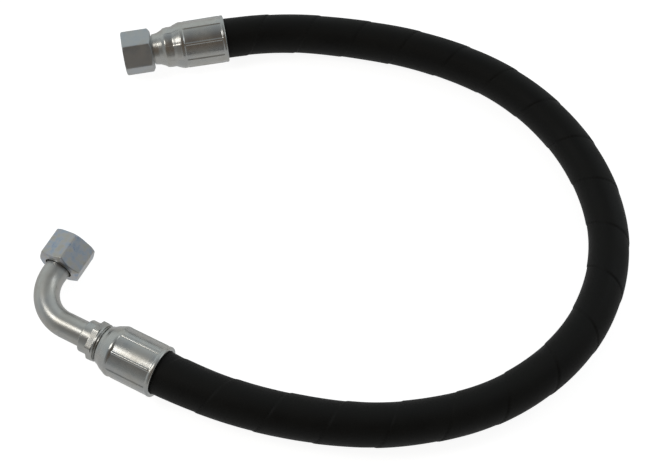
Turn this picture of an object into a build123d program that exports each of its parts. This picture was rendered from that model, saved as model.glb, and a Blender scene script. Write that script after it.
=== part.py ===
"""Hydraulic hose assembly, -12 (3/4 in) size, with two 37 degree female swivel ends.

End A is a straight fitting and end B a swept 90 degree tube elbow. Millimetres, +Z up.
The origin is the centre of port A's mouth, and -X is the way an adapter leaves port A.
Both fitting axes lie in the plane Z = 0, and the assembly lies on Z = -FERRULE_R.

Local frames: a port's pieces are drawn along X from the nut's mouth at x = 0 inwards.
End B's stem is drawn along X from the elbow's corner, where its two axes cross,
towards the hose, with the port's axis along +Y.
"""
from build123d import *
from math import cos, pi, radians, tan
import os

# Hose, from the bore outwards
HOSE_BORE_R = 9.525
TUBE_WALL = 1.9
SPIRAL_COUNT = 4
SPIRAL_WIRE = 0.5
INSULATION = 0.2
LAYER_GAP = 0.02
HOSE_R = 16.2

# Route of the exposed hose, from ferrule A's mouth to ferrule B's mouth. Its end runs
# lie on the ferrules' axes, and between them it settles onto its own cover.
ROUTE = [
    (84.0, 0.0, 0.0),
    (114.0, 0.0, 0.0),
    (168.0, -10.0, -2.9),
    (243.0, -41.0, -2.9),
    (305.0, -91.0, -2.9),
    (340.0, -164.0, -2.9),
    (340.0, -244.0, -2.9),
    (298.0, -312.0, -2.9),
    (227.0, -350.0, -2.9),
    (150.0, -353.0, -2.9),
    (88.0, -336.0, -2.9),
    (26.9, -307.5, 0.0),
    (-4.5, -282.8, 0.0),
]
ARC_SHARE = 0.45

# Ferrules, crimped over the hose by eight dies
MOUTH_CLEARANCE = 0.1
FERRULE_BORE_R = HOSE_R + MOUTH_CLEARANCE
FERRULE_WALL = 2.8
FERRULE_R = FERRULE_BORE_R + FERRULE_WALL
BODY_LENGTH = 36.8
HOSE_END_GAP = 1.8
INSERTION = BODY_LENGTH - HOSE_END_GAP
CRIMP_DEPTH = 0.45
CRIMP_DIES = 8
DIE_GAP = 1.9
CRIMP_A_TURN = 39.0
CRIMP_B_TURN = 25.0
RIM = 2.6
RIM_ROUND = 1.3
TOOTH_PITCH = 5.0
TOOTH_DEPTH = 0.9
TOOTH_COUNT = int(BODY_LENGTH / TOOTH_PITCH) - 2
BORE_SETBACK = 1.0
CUT_PAST = 1.0

# Barbed inserts, with a collar that the swaged nose of the ferrule locks over
INSERT_CLEARANCE = 0.06
INSERT_R = HOSE_BORE_R - INSERT_CLEARANCE
STEM_BORE_R = 7.4
BARB_PITCH = 3.6
BARB_DEPTH = 0.55
BARB_START = 3.0
INSERT_SETBACK = 5.0
BARB_SLOPE = 0.8 * BARB_PITCH
TIP_LEAD = 1.5
TIP_TAPER = 1.0
BARB_COUNT = int((INSERTION - BARB_START - INSERT_SETBACK - TIP_LEAD) / BARB_PITCH)
LOCK_LENGTH = 4.0
LOCK_CLEARANCE = 0.1

# Ports: 1-1/16-12 UN thread and 37 degree seat, both ends. The thread grows with the
# tube that it joins, and the neck and lock collar with the seat head
TUBE_R = 9.525
THREAD_OVER_TUBE = 3.97
THREAD_R = TUBE_R + THREAD_OVER_TUBE
THREAD_DEPTH = 1.08
THREAD_LENGTH = 11.5
RELIEF_DEPTH = 0.4
RELIEF_R = THREAD_R + RELIEF_DEPTH
SEAT_START = 12.0
HEAD_CLEARANCE = 0.3
HEAD_R = THREAD_R - THREAD_DEPTH - HEAD_CLEARANCE
SEAT_MOUTH_LAND = 0.9
SEAT_MOUTH_R = HEAD_R - SEAT_MOUTH_LAND
SEAT_ANGLE = 37.0
NECK_STEP = 0.7
NECK_R = HEAD_R - NECK_STEP
LOCK_STEP = 1.65
LOCK_R = NECK_R + LOCK_STEP

# Swivel nuts. A turn is the angle from +Y to a corner of the hexagon
NUT_WALL = 1.98
NUT_FLATS = 2 * (RELIEF_R + NUT_WALL)
NUT_LENGTH = 23.5
NUT_A_TURN = 52.0
NUT_B_TURN = 13.5
MOUTH_FACE_RISE = 0.9
MOUTH_FACE_R = NUT_FLATS / 2 + MOUTH_FACE_RISE
BACK_FACE_DROP = 1.1
BACK_FACE_R = NUT_FLATS / 2 - BACK_FACE_DROP
CHAMFER_PAST = 1.0
CHAMFER_ANGLE = 30.0
SWIVEL_FIT = 0.08
NUT_GAP = 0.3

# End A: the nut turns on a journal and is held on it by a thrust wire
JOURNAL_START = 14.0
JOURNAL_SETBACK = 0.3
JOURNAL_END = NUT_LENGTH - JOURNAL_SETBACK
THRUST_WIRE_R = 0.95
THRUST_WIRE_SETBACK = 4.5
THRUST_WIRE_X = NUT_LENGTH - THRUST_WIRE_SETBACK
THRUST_RING_R = HEAD_R + SWIVEL_FIT / 2
THRUST_WIRE_ARC = 345
NOSE_WALL = 0.7
NOSE_GAP = 1.7
NOSE_START = NUT_LENGTH + NOSE_GAP
CONE_SHARE = 0.5464
FLARE_RISE = 1.2
FLARE_ROUND = 3.0
WAIST_WALL = 3.1
WAIST_R = LOCK_R + LOCK_CLEARANCE + WAIST_WALL
WAIST_LENGTH = 6.2
WAIST_ROUND = 4.0
SHOULDER_LENGTH = 6.1
SHOULDER_ROUND = 2.0

# End B: a bent tube brazed into the stem at one end and into a seat head at the other
ELBOW_WALL = 2.1
TUBE_BORE_R = TUBE_R - ELBOW_WALL
ELBOW_RADIUS = 30.0
ELBOW_OFFSET = 109.9
ELBOW_DROP = 59.4
BRAZE_GAP = 0.03
BRAZE_LEG = 1.0
SOCKET_DEPTH = 5.5
COLLAR_WALL = 2.6
COLLAR_R = TUBE_R + COLLAR_WALL
COLLAR_LENGTH = 7.2
COLLAR_ROUND = 0.6
HEX_STEP = 0.7
HEX_FLATS = 2 * (COLLAR_R + HEX_STEP)
HEX_TURN = 20.0
HEX_LENGTH = 4.8
LIP_RISE = 2.2
LIP_R = COLLAR_R + LIP_RISE
LIP_LENGTH = 1.6
LIP_ROUND = 0.5
GROOVE_DEPTH = 1.2
GROOVE_R = LIP_R - GROOVE_DEPTH
GROOVE_LENGTH = 0.9
STEM_B_REACH = 62.2
NOSE_B_REACH = 46.2
NOSE_B_STEP = 1.4
NOSE_B_R = GROOVE_R + NOSE_B_STEP
NOSE_B_BULGE = 0.6
NOSE_B_ROUND = 3.0
NOSE_B_RUN_ON = 0.5
HEAD_LENGTH = 5.2
SKIRT_WALL = 0.75
SKIRT_R = TUBE_R + SKIRT_WALL
SKIRT_LENGTH = 3.3
NUT_B_HOLE_GAP = 1.1
NUT_B_HOLE_R = TUBE_R + NUT_B_HOLE_GAP


def turned(*points):
    """Solid of revolution about X. Points are (x, r) or (x, r, corner radius)."""
    face = make_face(Polyline(*[point[:2] for point in points], close=True))
    for point in points:
        if len(point) == 3:
            corner = face.vertices().sort_by_distance(Vector(*point[:2]))[0]
            face = fillet(corner, point[2])
    return revolve(face, Axis.X)


def rod(start, end, radius):
    """Plain cylinder along X between two stations."""
    return turned((start, 0), (start, radius), (end, radius), (end, 0))


def wire_ring(x, ring_r, wire_r, arc=360):
    """Round wire bent into a ring about X."""
    return revolve(Pos(x, ring_r) * Circle(wire_r), Axis.X, revolution_arc=arc)


def hex_bar(start, length, flats, turn):
    """Hexagonal bar along X, turned about its axis."""
    section = RegularPolygon(flats / 2, 6, major_radius=False, rotation=turn)
    return extrude(Plane.YZ.offset(start) * section, amount=length)


def route_radii(points):
    """Arc radius at each corner of the route, as large as its two runs allow."""
    radii = []
    for before, here, after in zip(points, points[1:], points[2:]):
        run_in = here - before
        run_out = after - here
        half_turn = radians(run_in.get_angle(run_out)) / 2
        radii.append(ARC_SHARE * min(run_in.length, run_out.length) / tan(half_turn))
    return radii


def hose_path():
    """Hose centreline, with straight ends that run on into both ferrules."""
    points = [Vector(*point) for point in ROUTE]
    radii = route_radii(points)
    print("hose arc radii:", [round(radius, 1) for radius in radii])
    start = points[0] + (points[0] - points[1]).normalized() * INSERTION
    end = points[-1] + (points[-1] - points[-2]).normalized() * INSERTION
    return FilletPolyline(start, *points[1:-1], end, radius=radii)


def hose_layer(path, inner_r, outer_r):
    """One concentric layer of the hose."""
    section = Circle(outer_r) - Circle(inner_r)
    return sweep(Plane(path @ 0, z_dir=path % 0) * section, path=path)


def hose():
    """Inner tube, wire spirals with insulation between them, and cover."""
    path = hose_path()
    walls = {"hose_inner_tube": TUBE_WALL}
    for index in range(1, SPIRAL_COUNT + 1):
        walls[f"hose_wire_spiral_{index}"] = SPIRAL_WIRE
        if index < SPIRAL_COUNT:
            walls[f"hose_insulation_{index}"] = INSULATION
    layers = {}
    inner_r = HOSE_BORE_R
    for name, wall in walls.items():
        layers[name] = hose_layer(path, inner_r, inner_r + wall)
        inner_r += wall + LAYER_GAP
    layers["hose_cover"] = hose_layer(path, inner_r, HOSE_R)
    expected = pi * (HOSE_R**2 - inner_r**2) * path.length
    print(f"exposed hose: {path.length - 2 * INSERTION:.1f}")
    print(f"cover volume over section times length: {layers['hose_cover'].volume / expected:.4f}")
    return layers


def toothed_bore(mouth):
    """Ferrule's bore from its mouth inwards, with the teeth that bite the cover."""
    bore = rod(mouth - BODY_LENGTH + BORE_SETBACK, mouth + CUT_PAST, FERRULE_BORE_R)
    for index in range(TOOTH_COUNT):
        x = mouth - TOOTH_PITCH * (index + 1)
        bore += rod(x - TOOTH_PITCH / 2, x, FERRULE_BORE_R + TOOTH_DEPTH)
    return bore


def crimp_waste(mouth, turn):
    """What the dies press out of a ferrule: a shallow band, less a ridge at each gap."""
    start = mouth - BODY_LENGTH + RIM
    end = mouth - RIM
    ring = rod(start, end, FERRULE_R + CRIMP_DEPTH) - rod(start, end, FERRULE_R - CRIMP_DEPTH)
    ridge = Pos((start + end) / 2, 0, FERRULE_R) * Box(end - start, DIE_GAP, 4 * CRIMP_DEPTH)
    for index in range(CRIMP_DIES):
        ring -= Rot(X=turn - 90 + 360 / CRIMP_DIES * index) * ridge
    return ring


def ferrule(mouth, nose, turn):
    """Crimped ferrule. nose is its outline from the bore, round its tip, to the body."""
    body = turned(*nose, (mouth, FERRULE_R, RIM_ROUND), (mouth, 0), (nose[0][0], 0))
    return body - toothed_bore(mouth) - crimp_waste(mouth, turn)


def lock_bore(tip, neck_r, mouth):
    """Swaged inside of a ferrule's nose: neck, lock collar and run-out to the body."""
    lock_end = mouth - BODY_LENGTH - BORE_SETBACK
    lock_start = lock_end - LOCK_LENGTH
    lock_r = LOCK_R + LOCK_CLEARANCE
    neck = rod(tip - CUT_PAST, lock_start, neck_r + LOCK_CLEARANCE)
    return neck + rod(lock_start - LOCK_CLEARANCE, mouth - BODY_LENGTH + 2 * BORE_SETBACK, lock_r)


def insert_outline(mouth):
    """Outline of the lock collar and barbs, as (x, r) points towards the hose."""
    hose_end = mouth - INSERTION
    lock_end = mouth - BODY_LENGTH - BORE_SETBACK - LOCK_CLEARANCE
    tip = mouth - INSERT_SETBACK
    lock_start = lock_end - LOCK_LENGTH + 2 * LOCK_CLEARANCE
    points = [(lock_start, LOCK_R), (lock_end, LOCK_R), (lock_end, INSERT_R)]
    for index in range(BARB_COUNT):
        x = hose_end + BARB_START + BARB_PITCH * index
        points += [(x, INSERT_R), (x, INSERT_R - BARB_DEPTH), (x + BARB_SLOPE, INSERT_R)]
    return points + [(tip - TIP_LEAD, INSERT_R), (tip, INSERT_R - TIP_TAPER)]


def seat_cone():
    """Void in front of and inside a seat head: the 37 degree female seat."""
    depth = (SEAT_MOUTH_R - STEM_BORE_R) / tan(radians(SEAT_ANGLE))
    return turned(
        (SEAT_START, 0),
        (SEAT_START, SEAT_MOUTH_R),
        (SEAT_START + depth, STEM_BORE_R),
        (SEAT_START + depth, 0),
    )


def nut_blank(turn):
    """Chamfered hexagonal nut with its thread bore."""
    corner_r = NUT_FLATS / 2 / cos(radians(30)) + CHAMFER_PAST
    slope = tan(radians(CHAMFER_ANGLE))
    envelope = turned(
        (0, 0),
        (0, MOUTH_FACE_R),
        ((corner_r - MOUTH_FACE_R) * slope, corner_r),
        (NUT_LENGTH - (corner_r - BACK_FACE_R) * slope, corner_r),
        (NUT_LENGTH, BACK_FACE_R),
        (NUT_LENGTH, 0),
    )
    return (hex_bar(0, NUT_LENGTH, NUT_FLATS, turn) & envelope) - rod(-CUT_PAST, THREAD_LENGTH, THREAD_R)


def nut_a():
    """Nut with a journal bore and a groove for the thrust wire."""
    body = nut_blank(NUT_A_TURN)
    body -= rod(THREAD_LENGTH, JOURNAL_START, RELIEF_R)
    body -= rod(JOURNAL_START, NUT_LENGTH + CUT_PAST, HEAD_R + SWIVEL_FIT)
    return body - wire_ring(THRUST_WIRE_X, THRUST_RING_R, THRUST_WIRE_R + LAYER_GAP)


def thrust_wire():
    """Open ring of round wire, half in the nut's groove and half in the stem's."""
    return wire_ring(THRUST_WIRE_X, THRUST_RING_R, THRUST_WIRE_R, THRUST_WIRE_ARC)


def stem_a(mouth):
    """Straight stem: seat head, journal, neck, lock collar and barbed insert."""
    outline = insert_outline(mouth)
    body = turned(
        (SEAT_START, 0),
        (SEAT_START, HEAD_R),
        (JOURNAL_END, HEAD_R),
        (JOURNAL_END, NECK_R),
        (outline[0][0], NECK_R),
        *outline,
        (outline[-1][0], 0),
    )
    body -= wire_ring(THRUST_WIRE_X, THRUST_RING_R, THRUST_WIRE_R + SWIVEL_FIT)
    return body - seat_cone() - rod(SEAT_START, mouth, STEM_BORE_R)


def ferrule_a(mouth):
    """Ferrule with a long nose swaged down over the stem's neck."""
    lip_r = NECK_R + LOCK_CLEARANCE + NOSE_WALL
    shoulder = mouth - BODY_LENGTH
    waist_end = shoulder - SHOULDER_LENGTH
    waist_start = waist_end - WAIST_LENGTH
    flare_start = NOSE_START + CONE_SHARE * (waist_start - NOSE_START)
    nose = [
        (NOSE_START, 0),
        (NOSE_START, lip_r),
        (flare_start, lip_r + FLARE_RISE, FLARE_ROUND),
        (waist_start, WAIST_R, WAIST_ROUND),
        (waist_end, WAIST_R, WAIST_ROUND),
        (shoulder, FERRULE_R, SHOULDER_ROUND),
    ]
    return ferrule(mouth, nose, CRIMP_A_TURN) - lock_bore(NOSE_START, NECK_R, mouth)


def stem_b(mouth):
    """Stem with a round socket collar for the tube, a wrench hexagon and a lip."""
    outline = insert_outline(mouth)
    start = mouth - STEM_B_REACH
    hex_start = start + COLLAR_LENGTH
    lip_start = hex_start + HEX_LENGTH
    lip_end = lip_start + LIP_LENGTH
    body = turned(
        (start, 0),
        (start, COLLAR_R, COLLAR_ROUND),
        (lip_start, COLLAR_R),
        (lip_start, LIP_R, LIP_ROUND),
        (lip_end, LIP_R, LIP_ROUND),
        (lip_end, GROOVE_R),
        (lip_end + GROOVE_LENGTH, GROOVE_R),
        (lip_end + GROOVE_LENGTH, NECK_R),
        (outline[0][0], NECK_R),
        *outline,
        (outline[-1][0], 0),
    )
    body += hex_bar(hex_start, HEX_LENGTH - GROOVE_LENGTH / 2, HEX_FLATS, HEX_TURN)
    body -= rod(start - CUT_PAST, start + SOCKET_DEPTH, TUBE_R + BRAZE_GAP)
    return body - rod(start, mouth, STEM_BORE_R)


def ferrule_b(mouth):
    """Ferrule with a short nose swaged behind the stem's lip."""
    tip = mouth - NOSE_B_REACH
    shoulder = mouth - BODY_LENGTH
    nose = [
        (tip, 0),
        (tip, NOSE_B_R),
        ((tip + shoulder) / 2, (NOSE_B_R + FERRULE_R) / 2 + NOSE_B_BULGE, NOSE_B_ROUND),
        (shoulder + NOSE_B_RUN_ON, FERRULE_R, NOSE_B_ROUND),
    ]
    return ferrule(mouth, nose, CRIMP_B_TURN) - lock_bore(tip, NECK_R, mouth)


def elbow_tube(mouth):
    """Bent tube, from the bottom of the stem's socket to that of the seat head's."""
    stem_end = mouth - STEM_B_REACH + SOCKET_DEPTH - BRAZE_GAP
    head_end = ELBOW_DROP - SEAT_START - HEAD_LENGTH / 2 - BRAZE_GAP
    path = FilletPolyline((stem_end, 0), (0, 0), (0, head_end), radius=ELBOW_RADIUS)
    section = Circle(TUBE_R) - Circle(TUBE_BORE_R)
    return sweep(Plane(path @ 0, z_dir=path % 0) * section, path=path)


def braze_fillet(x, side):
    """Ring of braze metal between the tube and a face at x, on the given side of it."""
    inner_r = TUBE_R + BRAZE_GAP
    near = x + side * BRAZE_GAP
    far = near + side * BRAZE_LEG
    return turned((near, inner_r), (near, inner_r + BRAZE_LEG), (far, inner_r))


def seat_head_b():
    """Seat head brazed on the tube's end, with a skirt that centres it in the nut."""
    skirt_start = SEAT_START + HEAD_LENGTH
    skirt_end = skirt_start + SKIRT_LENGTH
    body = rod(SEAT_START, skirt_start, HEAD_R) + rod(skirt_start, skirt_end, SKIRT_R)
    body -= rod(SEAT_START + HEAD_LENGTH / 2, skirt_end + CUT_PAST, TUBE_R + BRAZE_GAP)
    return body - seat_cone() - rod(SEAT_START, skirt_end, STEM_BORE_R)


def nut_b():
    """Nut with a shoulder that bears on the back of the seat head."""
    shoulder = SEAT_START + HEAD_LENGTH + NUT_GAP
    body = nut_blank(NUT_B_TURN)
    body -= rod(THREAD_LENGTH, shoulder, RELIEF_R)
    return body - rod(shoulder, NUT_LENGTH + CUT_PAST, NUT_B_HOLE_R)


def end_a():
    """Pieces of the straight fitting, in place."""
    mouth = ROUTE[0][0]
    return {
        "stem_a": stem_a(mouth),
        "ferrule_a": ferrule_a(mouth),
        "nut_a": nut_a(),
        "thrust_wire_a": thrust_wire(),
    }


def end_b():
    """Pieces of the elbow fitting, in place on the hose's last run."""
    mouth = Vector(*ROUTE[-1])
    into_hose = (Vector(*ROUTE[-2]) - mouth).normalized()
    corner = Plane(mouth - into_hose * ELBOW_OFFSET, x_dir=into_hose, z_dir=(0, 0, 1))
    port = Plane(corner.location * Location((0, ELBOW_DROP, 0), (0, 0, -90)))
    stem_face = ELBOW_OFFSET - STEM_B_REACH
    skirt_face = SEAT_START + HEAD_LENGTH + SKIRT_LENGTH
    print("port B mouth:", port.origin, "outward:", -port.x_dir)
    return {
        "stem_b": corner * stem_b(ELBOW_OFFSET),
        "ferrule_b": corner * ferrule_b(ELBOW_OFFSET),
        "elbow_tube_b": corner * elbow_tube(ELBOW_OFFSET),
        "braze_ring_stem_b": corner * braze_fillet(stem_face, -1),
        "seat_head_b": port * seat_head_b(),
        "braze_ring_seat_b": port * braze_fillet(skirt_face, 1),
        "nut_b": port * nut_b(),
    }


def main():
    os.makedirs("parts", exist_ok=True)
    for name, shape in {**hose(), **end_a(), **end_b()}.items():
        export_step(shape, f"parts/{name}.step")


main()
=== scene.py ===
"""Looks of the hydraulic hose assembly. Metres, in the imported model's own frame.

Turned pieces are drawn in millimetres as (x, r) outlines about a local X axis, in the
same local frames as the design: a port's pieces run inwards from the nut's mouth, and
end B's stem runs from the elbow's corner towards the hose.
"""
from math import cos, pi, radians, sin, tan

import bpy
import numpy as np
from mathutils import Matrix, Vector


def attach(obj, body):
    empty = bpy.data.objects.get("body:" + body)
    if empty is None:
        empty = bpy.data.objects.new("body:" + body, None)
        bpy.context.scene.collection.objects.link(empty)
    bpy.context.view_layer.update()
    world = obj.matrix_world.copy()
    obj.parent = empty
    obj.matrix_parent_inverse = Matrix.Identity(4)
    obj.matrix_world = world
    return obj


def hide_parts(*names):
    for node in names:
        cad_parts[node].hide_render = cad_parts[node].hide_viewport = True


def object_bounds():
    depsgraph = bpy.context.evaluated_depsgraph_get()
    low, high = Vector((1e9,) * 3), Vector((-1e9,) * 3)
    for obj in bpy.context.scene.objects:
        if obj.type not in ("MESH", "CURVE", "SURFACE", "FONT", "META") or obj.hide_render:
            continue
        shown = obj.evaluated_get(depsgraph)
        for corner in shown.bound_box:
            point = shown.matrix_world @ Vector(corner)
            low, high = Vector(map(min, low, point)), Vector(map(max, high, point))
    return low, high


MM = 0.001

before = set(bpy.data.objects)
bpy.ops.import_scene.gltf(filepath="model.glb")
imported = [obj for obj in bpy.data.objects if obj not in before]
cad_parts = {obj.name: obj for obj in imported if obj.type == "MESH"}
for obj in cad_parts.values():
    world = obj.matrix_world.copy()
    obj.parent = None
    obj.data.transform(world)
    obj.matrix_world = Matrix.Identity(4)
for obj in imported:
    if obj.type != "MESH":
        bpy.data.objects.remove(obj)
cad_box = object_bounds()
ROOT = "hose_and_fittings"

# Hose route: its control points, and the wrap that its cover was cured in
ROUTE = [
    (0.084, 0.0, 0.0),
    (0.114, 0.0, 0.0),
    (0.168, -0.010, -0.0029),
    (0.243, -0.041, -0.0029),
    (0.305, -0.091, -0.0029),
    (0.340, -0.164, -0.0029),
    (0.340, -0.244, -0.0029),
    (0.298, -0.312, -0.0029),
    (0.227, -0.350, -0.0029),
    (0.150, -0.353, -0.0029),
    (0.088, -0.336, -0.0029),
    (0.0269, -0.3075, 0.0),
    (-0.0045, -0.2828, 0.0),
]
HOSE_R = 16.2
HOSE_INSIDE = 6.0
HOSE_BORE_R = 9.525
LAYER_GAP = 0.02
INSERTION = 35.0
WRAP_PITCH = 40.6
WRAP_PHASE = 0.0
WRAP_STEP = 0.45
WRAP_PROUD = 0.2
WRAP_NOTCH = 0.5 * WRAP_STEP
NOTCH_AFTER = 0.9
NOTCH_BEFORE = 0.6
SMOOTH_START = 0.012
COVER_END_DROP = 0.15
FLATTENING = 0.09
TUBE_WALL = 1.9
SPIRAL_COUNT = 4
SPIRAL_WIRE = 0.5
INSULATION = 0.2

# Fittings
FERRULE_R = 19.1
FERRULE_CLEARANCE = 0.1
FERRULE_CAVITY = 12.0
CAVITY_R = 15.6
BODY_LENGTH = 36.8
CRIMP_DIES = 8
CRIMP_DEPTH = 0.45
DIE_GAP = 1.9
RIM = 2.6
RIM_RUN_OUT = 1.1
FACET_CROWN = 0.2
PIT_DEPTH = 0.22
PIT_SIZE = 0.7
NUT_FLATS = 31.75
NUT_LENGTH = 23.5
MOUTH_FACE_R = NUT_FLATS / 2 + 0.9
BACK_FACE_R = NUT_FLATS / 2 - 1.1
CHAMFER_ANGLE = 30.0
JOURNAL_START = 14.0
SHOULDER_START = 17.5
JOURNAL_R = 12.195
NUT_B_HOLE_R = 10.625
NUT_A_TURN = 52.0
NUT_B_TURN = 13.5
FERRULE_A_TURN = 39.0
FERRULE_B_TURN = 25.0
HEX_B_TURN = 20.0
THREAD_R = 13.495
THREAD_DEPTH = 1.08
THREAD_PITCH = 25.4 / 12
THREAD_LENGTH = 11.5
RELIEF_R = THREAD_R + 0.4
SEAT_START = 12.0
HALF_HEAD = 2.6
BORE_R = 7.4
NECK_R = 11.415
LOCK_R = 13.065
LOCK_LENGTH = 3.8
LOCK_SETBACK = 37.9
INSERT_R = 9.465
INSERT_SETBACK = 5.0
BARB_SETBACK = 32.0
BARB_PITCH = 3.6
BARB_DEPTH = 0.55
BARB_COUNT = 7
TUBE_R = 9.525
ELBOW_WALL = 2.1
OVALITY = 0.025
BRAZE_GAP = 0.03
SOCKET_DEPTH = 5.5
COLLAR_R = 12.125
HEX_FLATS = 25.65
HEX_CORNER_R = 15.4
LIP_R = 14.3
GROOVE_R = 13.1
NOSE_B_REACH = 46.2
ELBOW_RADIUS = 30.0
ELBOW_OFFSET = 109.9
ELBOW_DROP = 59.4
STEM_B_REACH = 62.2

# Camera
VIEW_TARGET = Vector((0.131, -0.186, -0.0188))
VIEW_HEADING = 78.9
VIEW_PITCH = 61.0
VIEW_DISTANCE = 0.878
LENS = 63.6
FLOOR_REACH = 6.0
LIGHT_CENTRE = Vector((0.0, -0.15, 0.0))


# ---------------------------------------------------------------- outlines and meshes
def rounded(points, step=0.6):
    """Closed outline through points (x, r) or (x, r, corner radius), finely divided."""
    flat = np.array([p[:2] for p in points], float)
    count = len(flat)
    out = []
    for i, point in enumerate(points):
        here = flat[i]
        to_last = flat[i - 1] - here
        to_next = flat[(i + 1) % count] - here
        if len(point) == 2:
            out.append(here)
            continue
        len_last = np.linalg.norm(to_last)
        len_next = np.linalg.norm(to_next)
        u = to_last / len_last
        v = to_next / len_next
        half = np.arccos(np.clip(u @ v, -1, 1)) / 2
        reach = min(point[2] / tan(half), 0.48 * len_last, 0.48 * len_next)
        for t in np.linspace(0, 1, 9):
            ends = (1 - t) ** 2 * (here + u * reach) + t**2 * (here + v * reach)
            out.append(ends + 2 * t * (1 - t) * here)
    out = np.array(out)
    fine = []
    for here, after in zip(out, np.roll(out, -1, axis=0)):
        parts = max(1, int(np.ceil(np.linalg.norm(after - here) / step)))
        for t in range(parts):
            fine.append(here + (after - here) * t / parts)
    return np.array(fine)


def grid_object(name, rows, close_rows):
    """Smooth mesh over rows of rings. rows is (row, ring, xyz) in millimetres."""
    count, ring = rows.shape[:2]
    faces = []
    for i in range(count if close_rows else count - 1):
        j = (i + 1) % count
        for k in range(ring):
            m = (k + 1) % ring
            faces.append((i * ring + k, i * ring + m, j * ring + m, j * ring + k))
    mesh = bpy.data.meshes.new(name)
    mesh.from_pydata((rows.reshape(-1, 3) * MM).tolist(), [], faces)
    mesh.validate()
    mesh.update()
    mesh.polygons.foreach_set("use_smooth", [True] * len(mesh.polygons))
    mesh.set_sharp_from_angle(angle=radians(32))
    obj = bpy.data.objects.new(name, mesh)
    bpy.context.scene.collection.objects.link(obj)
    return obj


def lathe(name, outline, shape=None, ring=192, step=0.6):
    """Turned piece about X. shape(x, r, angle) may change the radius."""
    points = rounded(outline, step)
    angle = np.arange(ring) * 2 * pi / ring
    x = np.repeat(points[:, :1], ring, axis=1)
    r = np.repeat(points[:, 1:], ring, axis=1)
    turn = np.repeat(angle[None, :], len(points), axis=0)
    if shape:
        r = shape(x, r, turn)
    rows = np.stack([x, r * np.cos(turn), r * np.sin(turn)], axis=2)
    return grid_object(name, rows, True)


def place(obj, where, body, material, slot, *nodes):
    """Set a piece in its frame, on its body, with its material, for its CAD nodes."""
    obj.matrix_world = where
    obj.data.materials.clear()
    obj.data.materials.append(material)
    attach(obj, body)
    if nodes:
        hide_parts(*nodes)
    return obj


def smoothstep(value, low, high):
    t = np.clip((value - low) / (high - low), 0, 1)
    return t * t * (3 - 2 * t)


# ---------------------------------------------------------------- local frames
def frame_of(origin, x_axis):
    """Matrix with the given origin and X axis, and Z up."""
    x = Vector(x_axis).normalized()
    z = Vector((0, 0, 1))
    y = z.cross(x)
    rot = Matrix((x, y, z)).transposed().to_4x4()
    return Matrix.Translation(Vector(origin)) @ rot


INTO_HOSE_B = (Vector(ROUTE[-2]) - Vector(ROUTE[-1])).normalized()
PORT_A = frame_of((0, 0, 0), (1, 0, 0))
CORNER_B = frame_of(Vector(ROUTE[-1]) - INTO_HOSE_B * ELBOW_OFFSET * MM, INTO_HOSE_B)
PORT_B = CORNER_B @ Matrix.Translation((0, ELBOW_DROP * MM, 0)) @ Matrix.Rotation(-pi / 2, 4, "Z")


# ---------------------------------------------------------------- material helpers
def new_material(name):
    material = bpy.data.materials.new(name)
    material.use_nodes = True
    nodes = material.node_tree.nodes
    return material, nodes, material.node_tree.links, nodes["Principled BSDF"]


def noise(nodes, links, vector, scale, detail=4.0, rough=0.55):
    node = nodes.new("ShaderNodeTexNoise")
    node.inputs["Scale"].default_value = scale
    node.inputs["Detail"].default_value = detail
    node.inputs["Roughness"].default_value = rough
    links.new(vector, node.inputs["Vector"])
    return node.outputs["Fac"]


def stretched(nodes, links, vector, scale):
    node = nodes.new("ShaderNodeMapping")
    node.inputs["Scale"].default_value = scale
    links.new(vector, node.inputs["Vector"])
    return node.outputs["Vector"]


def ramp(nodes, links, fac, stops):
    node = nodes.new("ShaderNodeValToRGB")
    elements = node.color_ramp.elements
    while len(elements) < len(stops):
        elements.new(0.5)
    for element, (at, color) in zip(elements, stops):
        element.position = at
        element.color = (*color, 1)
    links.new(fac, node.inputs["Fac"])
    return node.outputs["Color"]


def remap(nodes, links, value, low, high):
    node = nodes.new("ShaderNodeMapRange")
    node.inputs["From Min"].default_value = 0.3
    node.inputs["From Max"].default_value = 0.7
    node.inputs["To Min"].default_value = low
    node.inputs["To Max"].default_value = high
    links.new(value, node.inputs["Value"])
    return node.outputs["Result"]


def bump(nodes, links, height, distance, strength, normal=None):
    node = nodes.new("ShaderNodeBump")
    node.inputs["Distance"].default_value = distance
    node.inputs["Strength"].default_value = strength
    links.new(height, node.inputs["Height"])
    if normal:
        links.new(normal, node.inputs["Normal"])
    return node.outputs["Normal"]


def zinc(name, stops, rough=(0.24, 0.40), patch=90, lines=0.35, grain=(900, 60, 60)):
    """Clear zinc plate: mottled colour, soft haze, and tool marks along grain."""
    material, nodes, links, shader = new_material(name)
    place_of = nodes.new("ShaderNodeTexCoord").outputs["Object"]
    mottle = noise(nodes, links, place_of, patch, 6, 0.6)
    speckle = noise(nodes, links, place_of, 1400, 3, 0.6)
    marks = noise(nodes, links, stretched(nodes, links, place_of, grain), 1.0, 5, 0.65)
    links.new(ramp(nodes, links, mottle, stops), shader.inputs["Base Color"])
    links.new(remap(nodes, links, mottle, *rough), shader.inputs["Roughness"])
    shader.inputs["Metallic"].default_value = 1.0
    low = bump(nodes, links, marks, 0.00008, lines)
    links.new(bump(nodes, links, speckle, 0.00003, 0.35, low), shader.inputs["Normal"])
    return material


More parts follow.
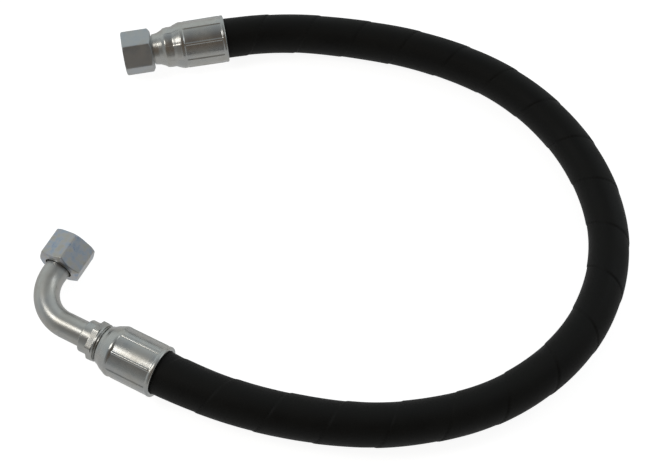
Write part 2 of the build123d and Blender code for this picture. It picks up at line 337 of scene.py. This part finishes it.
def rubber_cover(name):
    """Black rubber with the imprint of the fabric tape that it was cured in."""
    material, nodes, links, shader = new_material(name)
    uv = nodes.new("ShaderNodeTexCoord").outputs["UV"]
    place_of = nodes.new("ShaderNodeTexCoord").outputs["Object"]
    weave = None
    for direction, scale in (("X", 300.0), ("Y", 260.0)):
        wave = nodes.new("ShaderNodeTexWave")
        wave.bands_direction = direction
        wave.inputs["Scale"].default_value = scale
        wave.inputs["Distortion"].default_value = 0.6
        wave.inputs["Detail Scale"].default_value = 2.0
        links.new(uv, wave.inputs["Vector"])
        weave = bump(nodes, links, wave.outputs["Fac"], 0.00005, 0.5, weave)
    patch = noise(nodes, links, place_of, 45, 5, 0.6)
    grit = noise(nodes, links, place_of, 900, 3, 0.6)
    stops = [(0.35, (0.0030, 0.0030, 0.0026)), (0.7, (0.0058, 0.0058, 0.0048))]
    links.new(ramp(nodes, links, patch, stops), shader.inputs["Base Color"])
    links.new(remap(nodes, links, patch, 0.52, 0.68), shader.inputs["Roughness"])
    links.new(bump(nodes, links, grit, 0.00006, 0.35, weave), shader.inputs["Normal"])
    shader.inputs["Specular IOR Level"].default_value = 0.14
    return material


def plain_rubber(name):
    material, nodes, links, shader = new_material(name)
    place_of = nodes.new("ShaderNodeTexCoord").outputs["Object"]
    patch = noise(nodes, links, place_of, 200, 4, 0.6)
    stops = [(0.3, (0.012, 0.012, 0.012)), (0.7, (0.022, 0.021, 0.020))]
    links.new(ramp(nodes, links, patch, stops), shader.inputs["Base Color"])
    links.new(remap(nodes, links, patch, 0.5, 0.65), shader.inputs["Roughness"])
    links.new(bump(nodes, links, patch, 0.0001, 0.3), shader.inputs["Normal"])
    return material


COOL = [(0.30, (0.34, 0.37, 0.40)), (0.50, (0.40, 0.41, 0.41)), (0.70, (0.41, 0.40, 0.38))]
TINTED = [
    (0.36, (0.31, 0.36, 0.44)),
    (0.44, (0.37, 0.41, 0.45)),
    (0.49, (0.41, 0.405, 0.43)),
    (0.54, (0.42, 0.42, 0.40)),
    (0.64, (0.41, 0.39, 0.35)),
]
WARM = [(0.30, (0.37, 0.38, 0.38)), (0.55, (0.44, 0.435, 0.41)), (0.75, (0.39, 0.375, 0.34))]
BRASSY = [(0.3, (0.42, 0.30, 0.14)), (0.7, (0.62, 0.50, 0.28))]
BRAZED = [(0.3, (0.55, 0.50, 0.42)), (0.7, (0.66, 0.60, 0.50))]
nut_zinc = zinc("nut_zinc", COOL, rough=(0.30, 0.46), patch=110, lines=0.25, grain=(60, 500, 60))
tinted_zinc = zinc("tinted_zinc", TINTED, rough=(0.26, 0.44), patch=170, lines=0.3, grain=(60, 500, 60))
ferrule_zinc = zinc("ferrule_zinc", WARM, rough=(0.20, 0.35), patch=70, lines=0.25)
tube_zinc = zinc("tube_zinc", WARM, rough=(0.27, 0.37), patch=60, lines=0.22, grain=(300, 300, 300))
stem_zinc = zinc("stem_zinc", WARM, rough=(0.24, 0.38), patch=120, lines=0.4)
wire_brass = zinc("wire_brass", BRASSY, rough=(0.3, 0.45), patch=400)
braze_zinc = zinc("braze_zinc", BRAZED, rough=(0.3, 0.5), patch=500, lines=0.2)
cover_rubber = rubber_cover("cover_rubber")
inner_rubber = plain_rubber("inner_rubber")


# ---------------------------------------------------------------- hose
def route_line():
    """Points along the route's smooth centreline, in metres."""
    curve = bpy.data.curves.new("route", "CURVE")
    curve.dimensions = "3D"
    curve.resolution_u = 40
    spline = curve.splines.new("NURBS")
    spline.points.add(len(ROUTE) - 1)
    for point, at in zip(spline.points, ROUTE):
        point.co = (*at, 1)
    spline.order_u = 3
    spline.use_endpoint_u = True
    obj = bpy.data.objects.new("route", curve)
    mesh = bpy.data.meshes.new_from_object(obj)
    line = np.array([v.co for v in mesh.vertices], float)
    bpy.data.meshes.remove(mesh)
    bpy.data.objects.remove(obj)
    bpy.data.curves.remove(curve)
    return line


def hose_rings(line, inside, count):
    """Stations along the hose, and each ring's centre, side, up and flattening."""
    along = np.r_[0, np.cumsum(np.linalg.norm(np.diff(line, axis=0), axis=1))]
    length = along[-1]
    station = np.linspace(-inside * MM, length + inside * MM, count)
    centre = np.stack([np.interp(station, along, line[:, k]) for k in range(3)], axis=1)
    for at, end, before in ((station < 0, 0, 1), (station > length, -1, -2)):
        away = line[end] - line[before]
        away /= np.linalg.norm(away)
        past = np.abs(station[at] - (0 if end == 0 else length))
        centre[at] = line[end] + away * past[:, None]
    tangent = np.gradient(centre, axis=0)
    tangent /= np.linalg.norm(tangent, axis=1)[:, None]
    side = np.cross((0, 0, 1), tangent)
    side /= np.linalg.norm(side, axis=1)[:, None]
    up = np.cross(tangent, side)
    bend = np.linalg.norm(np.gradient(tangent, axis=0), axis=1) / np.gradient(station)
    reach = count // 22
    window = np.ones(2 * reach + 1) / (2 * reach + 1)
    bend = np.convolve(np.pad(bend, reach, "edge"), window, "valid")
    exposed = smoothstep(np.minimum(station, length - station), 0.0, SMOOTH_START)
    flat = FLATTENING * bend / bend.max() * exposed
    return station, length, (centre, side, up, flat)


def hose_skin(rings, radius, turn):
    """Rows of points round the hose's rings at a radius in millimetres."""
    centre, side, up, flat = rings
    across = radius * np.cos(turn) * (1 - flat[:, None])
    rows = centre[:, None, :] / MM + side[:, None, :] * across[:, :, None]
    return rows + up[:, None, :] * (radius * np.sin(turn))[:, :, None]


def hose_layers(line):
    """Inner tube, wire spirals and insulation, along the cover's own line."""
    count, ring = 240, 48
    rings = hose_rings(line, INSERTION, count)[2]
    turn = np.tile(np.arange(ring) * 2 * pi / ring, (count, 1))
    walls = {"hose_inner_tube": TUBE_WALL}
    for index in range(1, SPIRAL_COUNT + 1):
        walls[f"hose_wire_spiral_{index}"] = SPIRAL_WIRE
        if index < SPIRAL_COUNT:
            walls[f"hose_insulation_{index}"] = INSULATION
    inner = HOSE_BORE_R
    for node, wall in walls.items():
        skins = [hose_skin(rings, inner + wall, turn), hose_skin(rings, inner, turn)[::-1]]
        obj = grid_object(f"{node}_swept", np.concatenate(skins), True)
        wire = "wire" in node
        material = wire_brass if wire else inner_rubber
        place(obj, Matrix.Identity(4), ROOT, material, "brassed_wire" if wire else "inner_rubber", node)
        inner += wall + LAYER_GAP


def hose():
    """Wrapped cover: lapped bands in a helix, a little flatter where it bends most."""
    line = route_line()
    station, length, rings = hose_rings(line, HOSE_INSIDE, 900)
    ring = 128
    angle = np.arange(ring) * 2 * pi / ring
    s, turn = np.meshgrid(station, angle, indexing="ij")
    lap = (s / MM / WRAP_PITCH + turn / (2 * pi) + WRAP_PHASE) % 1
    after_lap = np.exp(-((lap * WRAP_PITCH / NOTCH_AFTER) ** 2))
    before_lap = np.exp(-(((1 - lap) * WRAP_PITCH / NOTCH_BEFORE) ** 2))
    radius = HOSE_R + WRAP_PROUD - WRAP_STEP * (1 - lap) - WRAP_NOTCH * (after_lap + before_lap)
    exposed = smoothstep(np.minimum(s, length - s), 0.0, SMOOTH_START)
    plain_r = HOSE_R - COVER_END_DROP
    radius = plain_r + (radius - plain_r) * exposed
    rows = hose_skin(rings, radius, turn)
    rows[:, :, 2] = np.maximum(rows[:, :, 2], -FERRULE_R)
    obj = grid_object("hose_cover_wrapped", rows, False)
    uv = obj.data.uv_layers.new(name="UVMap")
    loops = np.zeros(len(obj.data.loops), int)
    obj.data.loops.foreach_get("vertex_index", loops)
    across = (loops % ring) / ring
    across[(across == 0) & (np.roll(across, 1) > 0.5)] = 1
    uv.data.foreach_set("uv", np.stack([station[loops // ring], across * 0.1], axis=1).ravel())
    place(obj, Matrix.Identity(4), ROOT, cover_rubber, "cover_rubber", "hose_cover")
    hose_layers(line)


# ---------------------------------------------------------------- shared shapes
def soft_min(a, b, sharpness):
    return -np.log(np.exp(-sharpness * a) + np.exp(-sharpness * b)) / sharpness


def hexagonal(flats, turn, start, end):
    """Shape function: a hexagon with eased corners between two stations."""
    def shape(x, r, angle):
        from_flat = (np.degrees(angle) - turn) % 60 - 30
        wall = flats / 2 / np.cos(np.radians(from_flat))
        wall = soft_min(wall, flats / 2 / cos(radians(30)) - 0.12, 5)
        cut = soft_min(r, wall, 7)
        inside = (x >= start) & (x <= end) & (r > flats / 2 - 2)
        return np.where(inside, cut, r)
    return shape


def crimped(mouth, turn, nose_share):
    """Shape function: eight pressed facets with a ridge at each gap between dies."""
    start = mouth - BODY_LENGTH + RIM - 0.4
    end = mouth - RIM + 0.4
    pitch = 2 * pi / CRIMP_DIES

    def shape(x, r, angle):
        off = (angle - radians(turn) + pitch / 2) % pitch - pitch / 2
        from_gap = np.abs(off) * FERRULE_R
        ridge = np.exp(-((from_gap / (DIE_GAP / 2)) ** 6))
        crown = 1 - (1 - np.abs(off) / (pitch / 2)) ** 2
        depth = CRIMP_DEPTH * (1 - ridge) + FACET_CROWN * crown
        zone = smoothstep(x, start, start + RIM_RUN_OUT) * (1 - smoothstep(x, end - RIM_RUN_OUT, end))
        nose = nose_share * (1 - smoothstep(x, start - 3.5, start - 1.5))
        nose *= smoothstep(x, start - 16, start - 10)
        pit = sum(np.exp(-(((x - at) / PIT_SIZE) ** 2)) for at in (start + 0.9, end - 0.9))
        pit = pit * np.exp(-(from_gap**2))
        outer = smoothstep(r, 14.0, 15.5)
        return r - outer * (depth * np.maximum(zone, nose) + PIT_DEPTH * pit)
    return shape


def ferrule(name, nose, mouth, turn, nose_share, where, node):
    """Crimped ferrule from its nose's outline to its rolled mouth."""
    bore = HOSE_R + FERRULE_CLEARANCE
    cavity = mouth - FERRULE_CAVITY
    outline = nose + [
        (mouth - RIM, FERRULE_R, 1.0),
        (mouth, FERRULE_R, 1.3),
        (mouth, bore, 0.5),
        (cavity, bore),
        (cavity, CAVITY_R),
        (nose[0][0], nose[0][1] - 0.9),
    ]
    obj = lathe(name, outline, crimped(mouth, turn, nose_share), ring=256, step=0.5)
    return place(obj, where, ROOT, ferrule_zinc, "zinc_steel", node)


def swivel_nut(letter, turn, hole, hole_start, where, material):
    """Swivel nut with chamfered corners, countersunk mouth and cut thread."""
    body = "swivel_nut_" + letter
    corner = NUT_FLATS / 2 / cos(radians(30)) + 0.6
    slope = tan(radians(CHAMFER_ANGLE))
    outline = [
        (0, THREAD_R),
        (0, MOUTH_FACE_R, 0.4),
        ((corner - MOUTH_FACE_R) * slope, corner),
        (NUT_LENGTH - (corner - BACK_FACE_R) * slope, corner),
        (NUT_LENGTH, BACK_FACE_R, 0.5),
        (NUT_LENGTH, hole, 0.3),
        (hole_start, hole),
        (hole_start, RELIEF_R),
        (THREAD_LENGTH, RELIEF_R),
        (THREAD_LENGTH, THREAD_R),
    ]
    shape = hexagonal(NUT_FLATS, turn, -1, NUT_LENGTH + 1)
    obj = lathe(f"nut_{letter}_hex", outline, shape, ring=360, step=0.45)
    place(obj, where, body, material, "zinc_nut", f"nut_{letter}")
    thread = thread_ridge(f"nut_{letter}_thread")
    place(thread, where, body, material, "zinc_nut")


def thread_ridge(name):
    """Right-hand helical ridge that stands for the thread cut in a nut's bore."""
    start = 0.9
    turns = (THREAD_LENGTH - 0.5 - start) / THREAD_PITCH
    count = int(turns * 96)
    t = np.linspace(0, turns, count)
    height = THREAD_DEPTH * smoothstep(np.minimum(t, turns - t), 0, 0.35)
    root = THREAD_R + 0.03
    half_root = THREAD_PITCH * 0.44
    half_crest = THREAD_PITCH * 0.08
    rows = []
    for x_off, share in ((-half_root, 0), (-half_crest, 1), (half_crest, 1), (half_root, 0)):
        x = start + half_root + t * THREAD_PITCH + x_off
        r = root - height * share
        rows.append(np.stack([x, r * np.cos(2 * pi * t), -r * np.sin(2 * pi * t)], axis=1))
    return grid_object(name, np.stack(rows, axis=1), False)


# ---------------------------------------------------------------- end A
def end_a():
    mouth = ROUTE[0][0] / MM
    nose = [
        (24.3, 11.5),
        (24.3, 12.2, 0.25),
        (28.6, 12.9, 2.5),
        (31.9, 14.3, 5.0),
        (34.2, 15.9, 3.0),
        (37.4, 16.3, 4.0),
        (40.6, 16.2, 3.0),
        (43.0, 17.3, 3.0),
        (45.6, 18.3, 3.0),
        (47.3, 18.75, 2.0),
    ]
    ferrule("ferrule_a_crimped", nose, mouth, FERRULE_A_TURN, 0.45, PORT_A, "ferrule_a")
    swivel_nut("a", NUT_A_TURN, JOURNAL_R, JOURNAL_START, PORT_A, nut_zinc)


# ---------------------------------------------------------------- end B
def stem_b():
    """Stem with round socket collar, thin wrench hexagon, lip, lock collar and barbs."""
    start = ELBOW_OFFSET - STEM_B_REACH
    lock_end = ELBOW_OFFSET - LOCK_SETBACK
    first_barb = ELBOW_OFFSET - BARB_SETBACK
    tip = ELBOW_OFFSET - INSERT_SETBACK
    socket_r = TUBE_R + BRAZE_GAP
    barbs = []
    for x in first_barb + BARB_PITCH * np.arange(BARB_COUNT):
        barbs += [(x, INSERT_R), (x, INSERT_R - BARB_DEPTH), (x + 0.8 * BARB_PITCH, INSERT_R)]
    outline = [
        (start, socket_r, 0.3),
        (start, COLLAR_R, 0.7),
        (start + 7.2, COLLAR_R),
        (start + 7.2, HEX_CORNER_R),
        (start + 11.55, HEX_CORNER_R),
        (start + 11.55, 12.6),
        (start + 12.0, 12.6),
        (start + 12.0, LIP_R, 0.5),
        (start + 13.6, LIP_R, 0.5),
        (start + 13.6, GROOVE_R),
        (start + 14.5, GROOVE_R),
        (start + 14.5, NECK_R),
        (lock_end - LOCK_LENGTH, NECK_R),
        (lock_end - LOCK_LENGTH, LOCK_R, 0.2),
        (lock_end, LOCK_R, 0.2),
        (lock_end, INSERT_R),
        *barbs,
        (tip - 1.5, INSERT_R),
        (tip, INSERT_R - 1.0),
        (tip, BORE_R),
        (start + SOCKET_DEPTH, BORE_R),
        (start + SOCKET_DEPTH, socket_r),
    ]
    shape = hexagonal(HEX_FLATS, HEX_B_TURN, start + 7.1, start + 11.6)
    obj = lathe("stem_b_turned", outline, shape, ring=240, step=0.8)
    place(obj, CORNER_B, ROOT, stem_zinc, "zinc_steel", "stem_b")


def elbow_tube():
    """Swept tube, slightly oval and thinned on the outside of its bend."""
    stem_end = ELBOW_OFFSET - STEM_B_REACH + SOCKET_DEPTH
    head_end = ELBOW_DROP - SEAT_START - HALF_HEAD
    bend_steps = 72
    centre, heading, bent = [], [], []
    for x in np.linspace(stem_end, ELBOW_RADIUS, 24)[:-1]:
        centre.append((x, 0))
        heading.append(pi)
        bent.append(0.0)
    for t in np.linspace(0, 1, bend_steps):
        a = t * pi / 2
        centre.append((ELBOW_RADIUS * (1 - sin(a)), ELBOW_RADIUS * (1 - cos(a))))
        heading.append(pi - a)
        bent.append(sin(pi * t) ** 0.5)
    for y in np.linspace(ELBOW_RADIUS, head_end, 16)[1:]:
        centre.append((0, y))
        heading.append(pi / 2)
        bent.append(0.0)
    centre = np.array(centre)
    heading = np.array(heading)
    bent = np.array(bent)
    ring = 144
    angle = np.arange(ring) * 2 * pi / ring
    left = np.stack([-np.sin(heading), np.cos(heading)], axis=1)

    def skin(radius):
        oval = 1 - OVALITY * bent[:, None] * np.cos(angle)[None, :] ** 2
        r = radius * oval
        rows = np.zeros((len(centre), ring, 3))
        rows[:, :, :2] = centre[:, None, :] + left[:, None, :] * (r * np.cos(angle))[:, :, None]
        rows[:, :, 2] = r * np.sin(angle)
        return rows

    rows = np.concatenate([skin(TUBE_R), skin(TUBE_R - ELBOW_WALL)[::-1]])
    obj = grid_object("elbow_tube_b_swept", rows, True)
    place(obj, CORNER_B, ROOT, tube_zinc, "zinc_steel", "elbow_tube_b")


def end_b():
    mouth = ELBOW_OFFSET
    tip = mouth - NOSE_B_REACH
    nose = [
        (tip, 13.2),
        (tip, 14.3, 0.4),
        (tip + 2.2, 15.1, 2.0),
        (tip + 4.6, 16.7, 2.5),
        (tip + 7.6, 18.0, 3.0),
        (tip + 10.2, FERRULE_R, 2.0),
    ]
    ferrule("ferrule_b_crimped", nose, mouth, FERRULE_B_TURN, 0.0, CORNER_B, "ferrule_b")
    stem_b()
    elbow_tube()
    swivel_nut("b", NUT_B_TURN, NUT_B_HOLE_R, SHOULDER_START, PORT_B, tinted_zinc)


# ---------------------------------------------------------------- carried-over nodes
def finish_cad_nodes():
    """Materials for the CAD nodes that stay as they are."""
    for name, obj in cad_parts.items():
        material = stem_zinc
        if "wire_spiral" in name:
            material = wire_brass
        elif "braze" in name:
            material = braze_zinc
        elif "insulation" in name or "tube" in name:
            material = inner_rubber
        obj.data.materials.clear()
        obj.data.materials.append(material)
        obj.data.polygons.foreach_set("use_smooth", [True] * len(obj.data.polygons))
        obj.data.set_sharp_from_angle(angle=radians(30))


# ---------------------------------------------------------------- stage
def floor_sheet(name, glow):
    """Pale, slightly uneven sheet at the level that the assembly lies on."""
    low = cad_box[0][2]
    corners = [(x * FLOOR_REACH, y * FLOOR_REACH, low) for x, y in ((-1, -1), (1, -1), (1, 1), (-1, 1))]
    mesh = bpy.data.meshes.new(name)
    mesh.from_pydata(corners, [], [(0, 1, 2, 3)])
    obj = bpy.data.objects.new(name, mesh)
    bpy.context.scene.collection.objects.link(obj)
    material, nodes, links, shader = new_material(name)
    place_of = nodes.new("ShaderNodeTexCoord").outputs["Object"]
    tone = noise(nodes, links, place_of, 3, 2, 0.5)
    pale = [(0.3, (0.33, 0.33, 0.33)), (0.7, (0.36, 0.36, 0.36))]
    links.new(ramp(nodes, links, tone, pale), shader.inputs["Base Color"])
    shader.inputs["Roughness"].default_value = 0.9
    shader.inputs["Specular IOR Level"].default_value = 0.0
    shader.inputs["Emission Color"].default_value = (1, 1, 1, 1)
    shader.inputs["Emission Strength"].default_value = glow
    obj.data.materials.append(material)
    return obj


def floor():
    """White light table, which the metal mirrors as a dimmer one."""
    table = floor_sheet("floor", 0.9)
    table.visible_glossy = False
    mirrored = floor_sheet("floor_mirrored", 0.22)
    mirrored.visible_camera = False
    mirrored.visible_diffuse = False
    mirrored.visible_shadow = False


def softbox(name, direction, distance, size, radiance, color=(1, 1, 1)):
    """Rectangular light of a given radiance, facing the assembly from a direction."""
    data = bpy.data.lights.new(name, "AREA")
    data.shape = "RECTANGLE"
    data.size, data.size_y = size
    data.energy = radiance * pi * size[0] * size[1]
    data.color = color
    obj = bpy.data.objects.new(name, data)
    away = Vector(direction).normalized()
    obj.location = LIGHT_CENTRE + away * distance
    obj.rotation_euler = away.to_track_quat("Z", "Y").to_euler()
    bpy.context.scene.collection.objects.link(obj)


def studio():
    """Pale surroundings with a darker, warmer patch over the front, and soft lights."""
    world = bpy.data.worlds.new("studio")
    bpy.context.scene.world = world
    world.use_nodes = True
    nodes = world.node_tree.nodes
    links = world.node_tree.links
    direction = nodes.new("ShaderNodeTexCoord").outputs["Generated"]
    dot = nodes.new("ShaderNodeVectorMath")
    dot.operation = "DOT_PRODUCT"
    dot.inputs[1].default_value = Vector((-0.12, -0.66, 0.74)).normalized()
    links.new(direction, dot.inputs[0])
    shade = ramp(nodes, links, dot.outputs["Value"], [
        (0.00, (0.74, 0.79, 0.80)),
        (0.30, (0.46, 0.49, 0.51)),
        (0.60, (0.34, 0.355, 0.36)),
        (0.85, (0.21, 0.195, 0.18)),
        (1.0, (0.19, 0.15, 0.115)),
    ])
    links.new(shade, nodes["Background"].inputs["Color"])
    softbox("key", (-0.52, 0.06, 0.86), 1.2, (0.34, 0.52), 4.6, (1.0, 0.97, 0.92))
    softbox("right", (0.80, 0.10, 0.60), 1.2, (0.35, 0.60), 1.6, (0.94, 0.97, 1.0))


def camera():
    data = bpy.data.cameras.new("camera")
    data.lens = LENS
    data.sensor_width = 36
    obj = bpy.data.objects.new("camera", data)
    heading = radians(VIEW_HEADING)
    pitch = radians(VIEW_PITCH)
    forward = Vector((cos(heading) * cos(pitch), sin(heading) * cos(pitch), -sin(pitch)))
    obj.location = VIEW_TARGET - forward * VIEW_DISTANCE
    obj.rotation_euler = forward.to_track_quat("-Z", "Y").to_euler()
    bpy.context.scene.collection.objects.link(obj)
    bpy.context.scene.camera = obj


camera()
finish_cad_nodes()
hose()
end_a()
end_b()
floor()
studio()
bpy.context.scene.view_settings.view_transform = "Standard"


def corners(box):
    return [[float(v) for v in corner] for corner in box]
